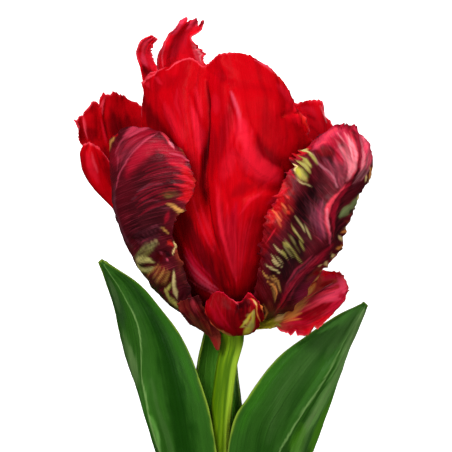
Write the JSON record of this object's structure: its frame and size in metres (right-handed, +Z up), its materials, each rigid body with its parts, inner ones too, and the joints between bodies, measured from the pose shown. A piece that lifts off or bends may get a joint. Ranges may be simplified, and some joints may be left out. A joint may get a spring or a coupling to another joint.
{
  "type": "parrot tulip",
  "caption": "Cut parrot tulip lying on its back, with ruffled red and wine petals, green splashed margins, a curved stem and broad leaves.",
  "frame": {"origin": "on the surface that the flower lies on, under the middle of its length and width", "axes": "+Z up, +Y along the flower from the cut end towards the petals' tips, +X to the right seen from above"},
  "size_m": [0.0996, 0.2954, 0.0838],
  "materials": {
    "petal_red": "silky petal, bright red with fine lengthwise veins",
    "petal_wine": "silky petal, dark wine red with veins, green and yellow splashes at the margin",
    "leaf": "smooth waxy leaf with parallel veins",
    "stem": "smooth waxy stem, yellow green",
    "pistil": "matt pale green with a cream stigma",
    "anther": "powdery, nearly black"
  },
  "bodies": {
    "root": {"stem": "stem", "leaf_left": "leaf", "leaf_right": "leaf", "leaf_back": "leaf", "petal_front": "petal_red", "petal_back_left": "petal_red", "petal_back_right": "petal_red", "petal_left": "petal_wine", "petal_right": "petal_wine", "petal_back": "petal_wine", "petal_left_side": "petal_red", "petal_top": "petal_red", "petal_horn": "petal_red", "petal_right_low": "petal_red", "petaloid_front_low": "petal_red", "petaloid_left_low": "petal_wine", "pistil": "pistil", "stamen_1": "anther", "stamen_2": "anther", "stamen_3": "anther", "stamen_4": "anther", "stamen_5": "anther", "stamen_6": "anther"}
  },
  "joints": []
}
